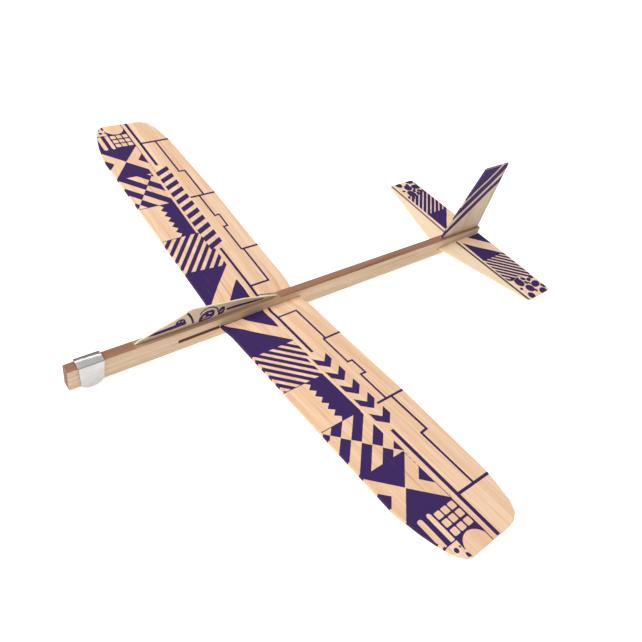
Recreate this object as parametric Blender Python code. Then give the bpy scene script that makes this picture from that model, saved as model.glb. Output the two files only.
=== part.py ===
"""Balsa hand glider: a stick fuselage, a one-piece wing bent to dihedral, a tailplane, a fin,
a canopy blade and a folded steel nose weight, all push-fitted together without glue.

Frame: +X to the glider's left, nose towards -Y, +Z up. The origin is on the centre plane, on the
fuselage's underside, level with the front of the wing root.
"""
import math

import bmesh
import bpy
from mathutils import Matrix, Vector

MM = 0.001

# Fit allowances
GAP = 0.2 * MM                      # between a sheet and the slot it slides in
SEAT = 0.25 * MM                    # under a piece that sits on top of the fuselage
BLADE_GAP = 0.3 * MM                # each side of a blade in its groove

# Fuselage stick
STICK_WIDTH = 5.0 * MM
STICK_HEIGHT = 11.63 * MM
NOSE_Y = -73.8 * MM
TAIL_Y = 200.0 * MM
NOSE_CHAMFER = 0.5 * MM

# Wing: a flat sheet outline, half of it, as (distance along the panel, fore-and-aft place)
WING_THICKNESS = 1.6 * MM
WING_TOP_Z = 7.1 * MM               # top of the flat centre strip at y = 0
WING_INCIDENCE = math.atan(0.018)   # rises towards the tail
WING_HALF_OUTLINE = [
    (0.0, -1.2), (124.0, -3.25), (127.0, -2.8), (130.2, -2.1), (136.0, -1.05), (142.0, 0.6),
    (146.5, 2.3), (149.6, 3.8), (152.2, 6.2), (153.0, 8.4), (153.2, 29.0), (152.8, 32.0),
    (150.9, 35.5), (146.2, 38.2), (133.0, 41.2), (82.0, 44.2), (40.0, 45.2), (0.0, 46.6),
]
# Slope of each strip of a wing half, as (where the strip starts, slope in degrees)
WING_STRIPS = [(0.0, 0.0), (3.0, 9.5), (4.5, 16.5), (6.0, 20.0), (9.0, 18.0), (12.0, 12.0), (14.0, 7.36)]
WING_SLOT_FRONT_Y = -23.4 * MM
WING_SLOT_REAR_Y = 47.2 * MM

# Tailplane
TAIL_THICKNESS = 0.8 * MM
TAIL_Y0 = 182.9 * MM                # where its height is set
TAIL_TOP_Z = 6.54 * MM
TAIL_INCIDENCE = math.atan(0.0447)
TAIL_HALF_OUTLINE = [
    (0.0, 160.0), (62.6, 177.7), (63.8, 178.4), (64.3, 179.5), (64.3, 198.6), (63.6, 199.9),
    (62.5, 200.3), (0.0, 200.3),
]
TAIL_SLOT_FRONT_Y = 159.5 * MM

# Fin, outline as (y, z) above the fuselage's top
FIN_THICKNESS = 0.8 * MM
FIN_OUTLINE = [(161.3, 0.0), (177.1, 47.2), (199.3, 47.7), (199.8, 47.2), (199.8, 0.0)]
FIN_TAB_Y = (165.0, 197.0)
FIN_TAB_DEPTH = 2.55

# Canopy blade, outline as (y, z) above the fuselage's top
CANOPY_THICKNESS = 0.8 * MM
CANOPY_OUTLINE = [
    (-43.7, 0.0), (-41.4, 1.5), (-36.7, 2.9), (-32.0, 4.5), (-27.2, 5.9), (-22.4, 7.6), (-17.6, 9.95),
    (-16.9, 10.15), (-16.1, 10.22), (-12.4, 9.6), (-4.5, 8.4), (4.2, 7.0), (12.5, 5.7), (21.7, 3.2),
    (29.4, 1.3), (33.0, 0.0),
]
CANOPY_TAB_Y = (-40.0, 30.0)
CANOPY_TAB_DEPTH = 2.2

# Grooves in the fuselage's top, deeper than the tabs by the seat
GROOVE_END_GAP = 0.3

# Nose weight, a strip folded over the stick
CLIP_THICKNESS = 0.5 * MM
CLIP_SIDE_GAP = 0.3 * MM
CLIP_TOP_GAP = 0.45 * MM            # over the stick, at the shoulders
CLIP_SHOULDER = 0.8 * MM            # outer bend radius
CLIP_SEGMENTS = 5
CLIP_BOW = math.radians(12)         # slope of the slightly arched top where it meets a shoulder
CLIP_BOW_STEPS = 4
CLIP_TOP_Y = (-69.4, -58.2)
CLIP_CORNERS = [(-68.7, 0.6), (-58.9, 1.4)]   # where the straight ends meet the rounded lower edge
CLIP_LOWEST = (-64.2, -1.7)
CLIP_ARC_STEPS = 12


def clear_scene():
    for obj in list(bpy.data.objects):
        bpy.data.objects.remove(obj, do_unlink=True)


def new_collection(name):
    coll = bpy.data.collections.new(name)
    bpy.context.scene.collection.children.link(coll)
    return coll


def plain_material(name, colour, roughness, metallic=0.0):
    mat = bpy.data.materials.new(name)
    mat.use_nodes = True
    shader = mat.node_tree.nodes["Principled BSDF"]
    shader.inputs["Base Color"].default_value = (*colour, 1.0)
    shader.inputs["Roughness"].default_value = roughness
    shader.inputs["Metallic"].default_value = metallic
    mat.diffuse_color = (*colour, 1.0)
    return mat


def plate(name, outline, thickness, matrix, coll):
    """Flat piece from a closed outline in the matrix's XY plane, centred on that plane."""
    curve = bpy.data.curves.new(name + "_outline", "CURVE")
    curve.dimensions = "2D"
    curve.fill_mode = "BOTH"
    curve.extrude = thickness / 2
    spline = curve.splines.new("POLY")
    spline.points.add(len(outline) - 1)
    for point, (u, v) in zip(spline.points, outline):
        point.co = (u, v, 0.0, 1.0)
    spline.use_cyclic_u = True
    curve_obj = bpy.data.objects.new(name + "_outline", curve)
    curve_obj.matrix_world = matrix
    coll.objects.link(curve_obj)
    bpy.context.view_layer.update()
    evaluated = curve_obj.evaluated_get(bpy.context.evaluated_depsgraph_get())
    mesh = bpy.data.meshes.new_from_object(evaluated)
    mesh.name = name
    bm = bmesh.new()
    bm.from_mesh(mesh)
    bmesh.ops.remove_doubles(bm, verts=bm.verts, dist=0.01 * MM)
    bmesh.ops.recalc_face_normals(bm, faces=bm.faces)
    bm.to_mesh(mesh)
    bm.free()
    obj = bpy.data.objects.new(name, mesh)
    obj.matrix_world = curve_obj.matrix_world
    coll.objects.link(obj)
    bpy.data.objects.remove(curve_obj, do_unlink=True)
    return obj


def side_plane(y, z):
    """Matrix whose local X is world Y, local Y is world Z and local Z is world X."""
    turn = Matrix(((0.0, 0.0, 1.0), (1.0, 0.0, 0.0), (0.0, 1.0, 0.0)))
    return Matrix.Translation((0.0, y, z)) @ turn.to_4x4()


def section_plane(y):
    """Matrix whose local X is world X, local Y is world Z and local Z is world -Y."""
    return Matrix.Translation((0.0, y, 0.0)) @ Matrix.Rotation(math.pi / 2, 4, "X")


def as_cutter(obj, cutters):
    for coll in list(obj.users_collection):
        coll.objects.unlink(obj)
    cutters.objects.link(obj)
    obj.hide_render = True
    obj.display_type = "WIRE"
    return obj


def box_cutter(name, low, high, pivot, tilt, cutters):
    """Box between two corners given about a pivot, turned about the pivot's X axis by tilt."""
    bpy.ops.mesh.primitive_cube_add(size=1.0)
    obj = bpy.context.active_object
    obj.name = name
    centre = (Vector(low) + Vector(high)) / 2
    size = Vector(high) - Vector(low)
    obj.data.transform(Matrix.Translation(centre) @ Matrix.Diagonal((*size, 1.0)))
    obj.location = pivot
    obj.rotation_euler = (tilt, 0.0, 0.0)
    return as_cutter(obj, cutters)


def boolean(obj, cutter, operation):
    modifier = obj.modifiers.new(cutter.name, "BOOLEAN")
    modifier.operation = operation
    modifier.solver = "EXACT"
    modifier.object = cutter


def mirrored(half):
    """Closed outline in metres from a half outline in millimetres that starts and ends at x = 0."""
    right = [(x * MM, y * MM) for x, y in half]
    left = [(-x, y) for x, y in reversed(right) if x > 0.0]
    return right + left


def groove(name, span, depth, sheet, cutters):
    """Cutter for a blade's groove in the top of the stick."""
    half_width = sheet / 2 + BLADE_GAP
    low = (-half_width, (span[0] - GROOVE_END_GAP) * MM, -depth * MM)
    high = (half_width, (span[1] + GROOVE_END_GAP) * MM, STICK_HEIGHT)
    return box_cutter(name, low, high, (0.0, 0.0, STICK_HEIGHT), 0.0, cutters)


def make_fuselage(coll, cutters):
    outline = [
        (NOSE_Y + NOSE_CHAMFER, 0.0), (TAIL_Y, 0.0), (TAIL_Y, STICK_HEIGHT),
        (NOSE_Y, STICK_HEIGHT), (NOSE_Y, NOSE_CHAMFER),
    ]
    stick = plate("fuselage", outline, STICK_WIDTH, side_plane(0.0, 0.0), coll)
    wing_slot = box_cutter(
        "wing_slot",
        (-STICK_WIDTH, WING_SLOT_FRONT_Y, -WING_THICKNESS - GAP),
        (STICK_WIDTH, WING_SLOT_REAR_Y, GAP),
        (0.0, 0.0, WING_TOP_Z), WING_INCIDENCE, cutters)
    tail_slot = box_cutter(
        "tail_slot",
        (-STICK_WIDTH, TAIL_SLOT_FRONT_Y - TAIL_Y0, -TAIL_THICKNESS - GAP),
        (STICK_WIDTH, TAIL_Y - TAIL_Y0 + STICK_WIDTH, GAP),
        (0.0, TAIL_Y0, TAIL_TOP_Z), TAIL_INCIDENCE, cutters)
    canopy_groove = groove("canopy_groove", CANOPY_TAB_Y, CANOPY_TAB_DEPTH + GAP / MM, CANOPY_THICKNESS, cutters)
    fin_groove = groove("fin_groove", FIN_TAB_Y, FIN_TAB_DEPTH + GAP / MM, FIN_THICKNESS, cutters)
    for cutter in (wing_slot, tail_slot, canopy_groove, fin_groove):
        boolean(stick, cutter, "DIFFERENCE")
    return stick


def strip_lines():
    """Each wing strip as (start along the sheet, x there, z there, slope), out from the centre."""
    lines = []
    x = 0.0
    z = 0.0
    for index, (start, degrees) in enumerate(WING_STRIPS):
        if index:
            before, slope = WING_STRIPS[index - 1]
            x += (start - before) * MM * math.cos(math.radians(slope))
            z += (start - before) * MM * math.sin(math.radians(slope))
        lines.append((start * MM, x, z, math.radians(degrees)))
    return lines


def bent(point, lines):
    """Place of a flat sheet's point after the sheet is bent up; its local z = 0 is the top face."""
    side = -1.0 if point.x < 0.0 else 1.0
    along = abs(point.x)
    index = max(i for i, line in enumerate(lines) if line[0] <= along + 1e-7)
    start, x, z, slope = lines[index]
    lean = slope
    stretch = 1.0
    if index and abs(along - start) < 1e-6:
        before = lines[index - 1][3]
        lean = (before + slope) / 2
        stretch = 1.0 / math.cos((slope - before) / 2)
    x += (along - start) * math.cos(slope) - point.z * stretch * math.sin(lean)
    z += (along - start) * math.sin(slope) + point.z * stretch * math.cos(lean)
    return Vector((side * x, point.y, z))


def make_wing(coll):
    pose = Matrix.Translation((0.0, 0.0, WING_TOP_Z)) @ Matrix.Rotation(WING_INCIDENCE, 4, "X")
    wing = plate("wing", mirrored(WING_HALF_OUTLINE), WING_THICKNESS, pose, coll)
    wing.data.transform(Matrix.Translation((0.0, 0.0, -WING_THICKNESS / 2)))
    lines = strip_lines()
    bm = bmesh.new()
    bm.from_mesh(wing.data)
    for start, _x, _z, _slope in lines[1:]:
        for side in (-1.0, 1.0):
            everything = bm.verts[:] + bm.edges[:] + bm.faces[:]
            bmesh.ops.bisect_plane(
                bm, geom=everything, plane_co=(side * start, 0.0, 0.0), plane_no=(1.0, 0.0, 0.0),
                dist=0.001 * MM)
    for vert in bm.verts:
        vert.co = bent(vert.co, lines)
    bm.to_mesh(wing.data)
    bm.free()
    return wing


def make_tailplane(coll):
    pose = Matrix.Translation((0.0, TAIL_Y0, TAIL_TOP_Z)) @ Matrix.Rotation(TAIL_INCIDENCE, 4, "X")
    outline = [(x, y - TAIL_Y0) for x, y in mirrored(TAIL_HALF_OUTLINE)]
    tailplane = plate("tailplane", outline, TAIL_THICKNESS, pose, coll)
    tailplane.data.transform(Matrix.Translation((0.0, 0.0, -TAIL_THICKNESS / 2)))
    return tailplane


def make_blade(name, outline, tab_span, tab_depth, sheet, coll):
    """Upright blade on the fuselage's top with a tab below it, its origin at the front of the tab."""
    front, rear = tab_span
    tab = [(rear, 0.0), (rear, -tab_depth), (front, -tab_depth), (front, 0.0)]
    whole = [((y - front) * MM, z * MM) for y, z in outline + tab]
    return plate(name, whole, sheet, side_plane(front * MM, STICK_HEIGHT + SEAT), coll)


def lower_arc():
    """Rounded lower edge of a nose weight leg, from its front corner to its rear corner."""
    (y1, z1), (y3, z3) = CLIP_CORNERS
    y2, z2 = CLIP_LOWEST
    twice = 2 * (y1 * (z2 - z3) + y2 * (z3 - z1) + y3 * (z1 - z2))
    r1 = y1 * y1 + z1 * z1
    r2 = y2 * y2 + z2 * z2
    r3 = y3 * y3 + z3 * z3
    centre_y = (r1 * (z2 - z3) + r2 * (z3 - z1) + r3 * (z1 - z2)) / twice
    centre_z = (r1 * (y3 - y2) + r2 * (y1 - y3) + r3 * (y2 - y1)) / twice
    radius = math.hypot(y1 - centre_y, z1 - centre_z)
    first = math.atan2(z1 - centre_z, y1 - centre_y)
    last = math.atan2(z3 - centre_z, y3 - centre_y)
    angles = [first + (last - first) * step / CLIP_ARC_STEPS for step in range(CLIP_ARC_STEPS + 1)]
    return [(centre_y + radius * math.cos(a), centre_z + radius * math.sin(a)) for a in angles]


def folded_section(half_width, top, radius, bottom):
    """One face of the folded strip in section, from its right foot over the arched top to its left foot."""
    flat = half_width - radius
    shoulder_z = top - radius
    arch_radius = flat / math.sin(CLIP_BOW) + radius
    arch_z = shoulder_z - flat / math.tan(CLIP_BOW)
    right = [(half_width, bottom)]
    for step in range(CLIP_SEGMENTS + 1):
        angle = (math.pi / 2 - CLIP_BOW) * step / CLIP_SEGMENTS
        right.append((flat + radius * math.cos(angle), shoulder_z + radius * math.sin(angle)))
    for step in range(1, CLIP_BOW_STEPS + 1):
        angle = CLIP_BOW * (1 - step / CLIP_BOW_STEPS)
        right.append((arch_radius * math.sin(angle), arch_z + arch_radius * math.cos(angle)))
    left = [(-x, z) for x, z in reversed(right[:-1])]
    return right + left


def make_nose_weight(coll, cutters):
    inner_half = STICK_WIDTH / 2 + CLIP_SIDE_GAP
    inner_top = STICK_HEIGHT + CLIP_TOP_GAP
    foot = -3.0 * MM
    outer = folded_section(inner_half + CLIP_THICKNESS, inner_top + CLIP_THICKNESS, CLIP_SHOULDER, foot)
    inner = folded_section(inner_half, inner_top, CLIP_SHOULDER - CLIP_THICKNESS, foot)
    front, rear = CLIP_TOP_Y
    length = (rear - front + 2.0) * MM
    middle = (front + rear) / 2 * MM
    clip = plate("nose_weight", outer + inner[::-1], length, section_plane(middle), coll)
    roof = 14.0
    profile = [(y * MM - middle, z * MM) for y, z in lower_arc() + [(rear, roof), (front, roof)]]
    side_form = plate("nose_weight_side", profile, 4 * STICK_WIDTH, side_plane(middle, 0.0), coll)
    boolean(clip, as_cutter(side_form, cutters), "INTERSECT")
    return clip


def paint(obj, mat):
    obj.data.materials.clear()
    obj.data.materials.append(mat)


def main():
    clear_scene()
    glider = new_collection("balsa_hand_glider")
    cutters = new_collection("cutters")
    paint(make_fuselage(glider, cutters), plain_material("fuselage_balsa", (0.60, 0.44, 0.32), 0.75))
    paint(make_wing(glider), plain_material("wing_balsa", (0.88, 0.64, 0.44), 0.70))
    paint(make_tailplane(glider), plain_material("tail_balsa", (0.88, 0.66, 0.46), 0.70))
    fin = make_blade("fin", FIN_OUTLINE, FIN_TAB_Y, FIN_TAB_DEPTH, FIN_THICKNESS, glider)
    paint(fin, plain_material("fin_balsa", (0.60, 0.45, 0.33), 0.72))
    canopy = make_blade("canopy", CANOPY_OUTLINE, CANOPY_TAB_Y, CANOPY_TAB_DEPTH, CANOPY_THICKNESS, glider)
    paint(canopy, plain_material("canopy_balsa", (0.58, 0.43, 0.31), 0.72))
    paint(make_nose_weight(glider, cutters), plain_material("weight_steel", (0.75, 0.75, 0.73), 0.25, 1.0))


main()
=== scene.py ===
"""Looks of the balsa hand glider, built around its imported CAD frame: softened balsa sheets with grain,
the purple decoration printed on them, the bright folded nose weight, a pale floor and studio light.
Shared frame: metres, +X to the glider's left, nose towards -Y, +Z up."""
import math

import bmesh
import bpy
from mathutils import Matrix, Vector, geometry, noise
from mathutils.bvhtree import BVHTree


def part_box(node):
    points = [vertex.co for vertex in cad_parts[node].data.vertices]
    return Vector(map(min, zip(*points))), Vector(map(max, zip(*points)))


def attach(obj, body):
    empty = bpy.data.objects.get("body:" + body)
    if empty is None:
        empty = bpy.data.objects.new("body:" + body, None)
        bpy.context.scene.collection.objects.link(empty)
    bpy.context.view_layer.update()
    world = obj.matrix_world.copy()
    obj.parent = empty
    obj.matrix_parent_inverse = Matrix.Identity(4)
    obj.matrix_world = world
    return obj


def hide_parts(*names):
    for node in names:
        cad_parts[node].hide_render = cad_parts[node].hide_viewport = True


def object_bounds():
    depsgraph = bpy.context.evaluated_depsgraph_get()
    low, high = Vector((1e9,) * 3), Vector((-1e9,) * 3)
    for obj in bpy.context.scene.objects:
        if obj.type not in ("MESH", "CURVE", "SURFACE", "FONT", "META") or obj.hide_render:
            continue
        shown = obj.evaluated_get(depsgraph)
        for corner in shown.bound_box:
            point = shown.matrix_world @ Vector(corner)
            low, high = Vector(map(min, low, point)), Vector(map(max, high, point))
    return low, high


MM = 0.001

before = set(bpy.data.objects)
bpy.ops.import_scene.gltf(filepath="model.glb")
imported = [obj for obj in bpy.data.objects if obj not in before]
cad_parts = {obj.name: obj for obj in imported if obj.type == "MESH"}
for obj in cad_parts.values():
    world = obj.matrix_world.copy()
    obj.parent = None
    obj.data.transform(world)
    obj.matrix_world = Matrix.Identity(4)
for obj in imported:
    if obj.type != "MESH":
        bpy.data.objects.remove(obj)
cad_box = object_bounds()


# ---------------------------------------------------------------- materials

class Graph:
    """Short calls for building a node material around one Principled shader."""

    def __init__(self, name):
        self.material = bpy.data.materials.new(name)
        self.material.use_nodes = True
        self.tree = self.material.node_tree
        self.shader = self.tree.nodes["Principled BSDF"]
        self.place = self.node("ShaderNodeTexCoord").outputs["Object"]

    def node(self, kind, **settings):
        made = self.tree.nodes.new(kind)
        for key, value in settings.items():
            setattr(made, key, value)
        return made

    def link(self, source, target):
        self.tree.links.new(source, target)

    def stretched(self, scale, turn=(0.0, 0.0, 0.0), shift=(0.0, 0.0, 0.0)):
        """The piece's own coordinates, turned and scaled, so that a pattern runs along one way."""
        mapping = self.node("ShaderNodeMapping", vector_type="POINT")
        mapping.inputs["Location"].default_value = shift
        mapping.inputs["Rotation"].default_value = turn
        mapping.inputs["Scale"].default_value = scale
        self.link(self.place, mapping.inputs["Vector"])
        return mapping.outputs["Vector"]

    def noise(self, vector, size, detail=3.0, rough=0.55, twist=0.0):
        """Noise whose features are about size metres across before stretching."""
        made = self.node("ShaderNodeTexNoise")
        made.inputs["Scale"].default_value = 1.0 / size
        made.inputs["Detail"].default_value = detail
        made.inputs["Roughness"].default_value = rough
        made.inputs["Distortion"].default_value = twist
        self.link(vector, made.inputs["Vector"])
        return made.outputs["Fac"]

    def steps(self, value, low, high):
        """Value stretched so that low becomes 0 and high becomes 1."""
        made = self.node("ShaderNodeMapRange", interpolation_type="SMOOTHSTEP")
        made.inputs["From Min"].default_value = low
        made.inputs["From Max"].default_value = high
        self.link(value, made.inputs["Value"])
        return made.outputs["Result"]

    def stretch_of(self, axis, start, end):
        """1 between two places along an axis, 0 elsewhere."""
        split = self.node("ShaderNodeSeparateXYZ")
        self.link(self.place, split.inputs[0])
        entered = self.steps(split.outputs[axis], start - SOFT_EDGE, start + SOFT_EDGE)
        left = self.steps(split.outputs[axis], end - SOFT_EDGE, end + SOFT_EDGE)
        return self.math("SUBTRACT", entered, left)

    def math(self, operation, first, second):
        """Sum, product or the like of two values, each a socket or a number."""
        made = self.node("ShaderNodeMath", operation=operation)
        for socket, value in zip(made.inputs, (first, second)):
            if isinstance(value, float):
                socket.default_value = value
            else:
                self.link(value, socket)
        return made.outputs[0]

    def mix(self, factor, first, second, blend="MIX"):
        """Blend of two colours. Each argument is a socket, or a plain number or colour."""
        made = self.node("ShaderNodeMix", data_type="RGBA", blend_type=blend)
        sockets = (made.inputs[0], made.inputs[6], made.inputs[7])
        for socket, value in zip(sockets, (factor, first, second)):
            if isinstance(value, (tuple, float)):
                socket.default_value = (*value, 1.0) if isinstance(value, tuple) else value
            else:
                self.link(value, socket)
        return made.outputs[2]

    def finish(self, colour, rough_value, rough_range, height, bump_strength, bump_size, specular=0.2):
        """Joins colour, roughness and bump to the shader and hands back the material."""
        self.link(colour, self.shader.inputs["Base Color"])
        self.shader.inputs["Specular IOR Level"].default_value = specular
        roughness = self.node("ShaderNodeMapRange")
        roughness.inputs["To Min"].default_value = rough_range[0]
        roughness.inputs["To Max"].default_value = rough_range[1]
        self.link(rough_value, roughness.inputs["Value"])
        self.link(roughness.outputs["Result"], self.shader.inputs["Roughness"])
        bump = self.node("ShaderNodeBump")
        bump.inputs["Strength"].default_value = bump_strength
        bump.inputs["Distance"].default_value = bump_size
        self.link(height, bump.inputs["Height"])
        self.link(bump.outputs["Normal"], self.shader.inputs["Normal"])
        return self.material


def linear(red, green, blue):
    """Linear colour from 0-255 display values."""
    def one(value):
        value /= 255.0
        return value / 12.92 if value <= 0.04045 else ((value + 0.055) / 1.055) ** 2.4
    return (one(red), one(green), one(blue))


SHEET_FLAT = 0.06                      # scale that draws a level sheet's pattern out through its thickness
WOOD_RELIEF = 0.10 * MM
STEEL_RELIEF = 0.02 * MM
SOFT_EDGE = 0.4 * MM                   # half the width over which one coloured stretch fades into the next


def drawn_out(grain, amount):
    """Scale that draws a pattern out along the grain. Across the span it is drawn out upwards too, so that
    the bent-up wing doesn't cut its streaks short."""
    if grain == "X":
        return (amount, 1.0, SHEET_FLAT)
    return (1.0, amount, 1.0) if grain == "Y" else (1.0, 1.0, amount)


def grain_parts(graph, grain, shift=(0.0, 0.0, 0.0)):
    """Balsa's patterns: wide soft bands, narrow streaks, pores drawn out along the grain, fine fuzz."""
    bands = graph.noise(graph.stretched(drawn_out(grain, 0.05), shift=shift), 5.0 * MM, 2.0)
    streaks = graph.noise(graph.stretched(drawn_out(grain, 0.018), shift=shift), 1.25 * MM, 3.0, 0.6, 0.05)
    pores = graph.noise(graph.stretched(drawn_out(grain, 0.025), shift=shift), 0.40 * MM, 2.0, 0.5)
    fuzz = graph.noise(graph.stretched(drawn_out(grain, 0.30), shift=shift), 0.5 * MM, 3.0, 0.7)
    return bands, streaks, pores, fuzz


def balsa(name, pale, deep, pore, grain, contrast=1.0, shift=(0.0, 0.0, 0.0), patch=None):
    """Bare balsa from three display colours. patch is an axis, where along it a differently coloured stretch
    starts and ends, its colour and how strongly that colour shows."""
    graph = Graph(name)
    pale, deep, pore = linear(*pale), linear(*deep), linear(*pore)
    bands, streaks, pores, fuzz = grain_parts(graph, grain, shift)
    base = graph.mix(graph.math("MULTIPLY", graph.steps(bands, 0.34, 0.66), 0.70 * contrast), pale, deep)
    base = graph.mix(graph.math("MULTIPLY", graph.steps(streaks, 0.48, 0.66), 0.75 * contrast), base, deep)
    strong = graph.math("MULTIPLY", graph.steps(streaks, 0.60, 0.72), graph.steps(bands, 0.42, 0.62))
    base = graph.mix(graph.math("MULTIPLY", strong, 0.55 * contrast), base, pore)
    base = graph.mix(graph.math("MULTIPLY", graph.steps(pores, 0.58, 0.72), 0.42 * contrast), base, pore)
    speck = graph.math("MULTIPLY", graph.steps(fuzz, 0.38, 0.70), 0.16)
    base = graph.mix(speck, base, (1.0, 0.94, 0.86), "SOFT_LIGHT")
    if patch:
        axis, start, end, tint, share = patch
        amount = graph.math("MULTIPLY", graph.stretch_of(axis, start, end), share)
        base = graph.mix(amount, base, linear(*tint))
    height = graph.math("SUBTRACT", fuzz, graph.math("MULTIPLY", graph.steps(pores, 0.58, 0.74), 0.9))
    return graph.finish(base, streaks, (0.62, 0.86), height, 0.35, WOOD_RELIEF)


def printed(name, colour, second, grain, shift=(0.0, 0.0, 0.0)):
    """Ink soaked into the wood: the grain still shows through it a little. The tailplane's score line also
    takes its painted shade from here.
    """
    graph = Graph(name)
    _, streaks, pores, fuzz = grain_parts(graph, grain, shift)
    base = graph.mix(graph.math("MULTIPLY", graph.steps(fuzz, 0.40, 0.70), 0.55), colour, second)
    worn = tuple(0.7 * a + 0.3 * b for a, b in zip(second, (0.60, 0.42, 0.33)))
    base = graph.mix(graph.math("MULTIPLY", graph.steps(pores, 0.66, 0.78), 0.35), base, worn)
    height = graph.math("SUBTRACT", fuzz, graph.math("MULTIPLY", graph.steps(pores, 0.58, 0.74), 0.9))
    return graph.finish(base, streaks, (0.55, 0.78), height, 0.30, WOOD_RELIEF, 0.10)


def steel(name):
    """Bright strip with fine lengthwise rolling lines and a few dull smears."""
    graph = Graph(name)
    brushed = graph.noise(graph.stretched((1.0, 0.05, 1.0)), 0.14 * MM, 3.0, 0.6)
    smear = graph.noise(graph.stretched((1.0, 0.6, 1.0)), 2.4 * MM, 3.0, 0.6)
    scratch = graph.noise(graph.stretched((1.0, 0.08, 0.5), (0.5, 0.0, 0.0)), 0.2 * MM, 1.0, 0.5)
    base = graph.mix(graph.steps(smear, 0.35, 0.68), (0.54, 0.525, 0.515), (0.50, 0.485, 0.475))
    base = graph.mix(graph.math("MULTIPLY", graph.steps(scratch, 0.66, 0.72), 0.4), base, (0.45, 0.44, 0.43))
    graph.shader.inputs["Metallic"].default_value = 1.0
    dullness = graph.math("ADD", brushed, graph.math("MULTIPLY", smear, 0.4))
    height = graph.math("ADD", brushed, scratch)
    return graph.finish(base, dullness, (0.08, 0.20), height, 0.04, STEEL_RELIEF, 0.5)


INK_DARK = linear(60, 40, 98)
INK_RED = linear(72, 44, 90)

# ---------------------------------------------------------------- pieces that follow the CAD solids

def softened(name, node, round_off, crisp=math.radians(30)):
    """A new piece with a CAD node's shape, its flats whole again and its edges rounded off a little."""
    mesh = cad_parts[node].data.copy()
    mesh.name = name
    mesh.materials.clear()
    bm = bmesh.new()
    bm.from_mesh(mesh)
    bmesh.ops.remove_doubles(bm, verts=bm.verts, dist=0.001 * MM)
    bmesh.ops.dissolve_limit(bm, angle_limit=math.radians(0.5), verts=bm.verts, edges=bm.edges)
    sharp = [edge for edge in bm.edges if edge.is_manifold and edge.calc_face_angle() > crisp]
    bmesh.ops.bevel(bm, geom=sharp, offset=round_off, offset_type="OFFSET", segments=3, profile=0.5,
                    affect="EDGES", clamp_overlap=True)
    bmesh.ops.recalc_face_normals(bm, faces=bm.faces)
    bm.to_mesh(mesh)
    bm.free()
    obj = bpy.data.objects.new(name, mesh)
    bpy.context.scene.collection.objects.link(obj)
    mesh.shade_smooth()
    mesh.set_sharp_from_angle(angle=math.radians(40))
    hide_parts(node)
    return obj


def give(obj, material, body):
    """Material and moving body of a piece."""
    obj.data.materials.append(material)
    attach(obj, body)
    return obj


# ---------------------------------------------------------------- printed decoration
#
# Decoration is drawn flat, in mm: u outwards from the centre plane and v towards the tail on a level sheet,
# u towards the tail and v upwards on an upright one. A drawing is a list of layers, each ("ink" or "bare",
# shapes), and a layer covers what all of its shapes share. Later layers lie over earlier ones.

INK_LIFT = 0.012 * MM                  # from the wood to the underside of the ink
INK_DEPTH = 0.010 * MM
RAGGED = 0.05 * MM                     # how far an ink edge wanders
RAGGED_GRAIN = 0.9 * MM                # size of the wanderings
EDGE_STEP = 1.2 * MM                   # length of the pieces that an ink edge is chopped into
EDGE_INSET = 0.10                      # flat ink stops this short of a sheet's edge, in mm
SHEET_ROUND = 0.14                     # rounding of the wing sheet's edges, in mm
THIN_ROUND = 0.10                      # the same on the thinner sheets
FRONT_DROP = 1.36                      # how far ink runs down the wing's front edge, in mm
FIN_DROP = 0.68                        # and over the fin's edges
WALK_STEP = 0.5                        # step of the walk along a sheet's edge, in mm
LOOK_IN = 0.35                         # print that lies this far inside the edge runs over it, in mm

noise.seed_set(1)                      # so that the ink's edges wander the same way every time


def area(points):
    """Area inside an outline, negative if it runs clockwise."""
    return sum(a[0] * b[1] - b[0] * a[1] for a, b in zip(points, points[1:] + points[:1])) / 2


def band(start, end, width):
    """Four corners of a straight line with a width."""
    (x0, y0), (x1, y1) = start, end
    length = math.hypot(x1 - x0, y1 - y0)
    nx, ny = -(y1 - y0) / length * width / 2, (x1 - x0) / length * width / 2
    return [(x0 + nx, y0 + ny), (x1 + nx, y1 + ny), (x1 - nx, y1 - ny), (x0 - nx, y0 - ny)]


def line(points, width):
    """Bands along a run of points, with a small square over each inner corner."""
    bands = [band(a, b, width) for a, b in zip(points, points[1:])]
    h = width / 2
    corners = [[(x - h, y - h), (x + h, y - h), (x + h, y + h), (x - h, y + h)] for x, y in points[1:-1]]
    return bands + corners


def oval(centre, half_u, half_v, turn=0.0, count=20):
    """Outline of an ellipse of count points."""
    points = []
    for i in range(count):
        a = 2 * math.pi * i / count
        u, v = half_u * math.cos(a), half_v * math.sin(a)
        points.append((centre[0] + u * math.cos(turn) - v * math.sin(turn),
                       centre[1] + u * math.sin(turn) + v * math.cos(turn)))
    return points


def cushion(centre, half, corner=0.35):
    """Square with rounded corners."""
    points = []
    for quarter in range(4):
        for step in range(4):
            a = math.pi / 2 * (quarter + step / 3)
            reach = half * (1 - corner)
            cx = centre[0] + reach * (1 if quarter in (0, 3) else -1)
            cy = centre[1] + reach * (1 if quarter in (0, 1) else -1)
            points.append((cx + half * corner * math.cos(a), cy + half * corner * math.sin(a)))
    return points


def inked(*shapes):
    return [("ink", [shape]) for shape in shapes]


def bare(*shapes):
    return [("bare", [shape]) for shape in shapes]


def chopped(points):
    """Outline with extra points along its sides, nudged about so that its edge is a little uneven."""
    out = []
    for (x0, y0), (x1, y1) in zip(points, points[1:] + points[:1]):
        count = max(1, int(math.hypot(x1 - x0, y1 - y0) * MM / EDGE_STEP))
        for i in range(count):
            x = (x0 + (x1 - x0) * i / count) * MM
            y = (y0 + (y1 - y0) * i / count) * MM
            wander = noise.noise_vector(Vector((x, y, 0.0)) / RAGGED_GRAIN) * RAGGED
            out.append((x + wander.x, y + wander.y))
    return out


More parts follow.
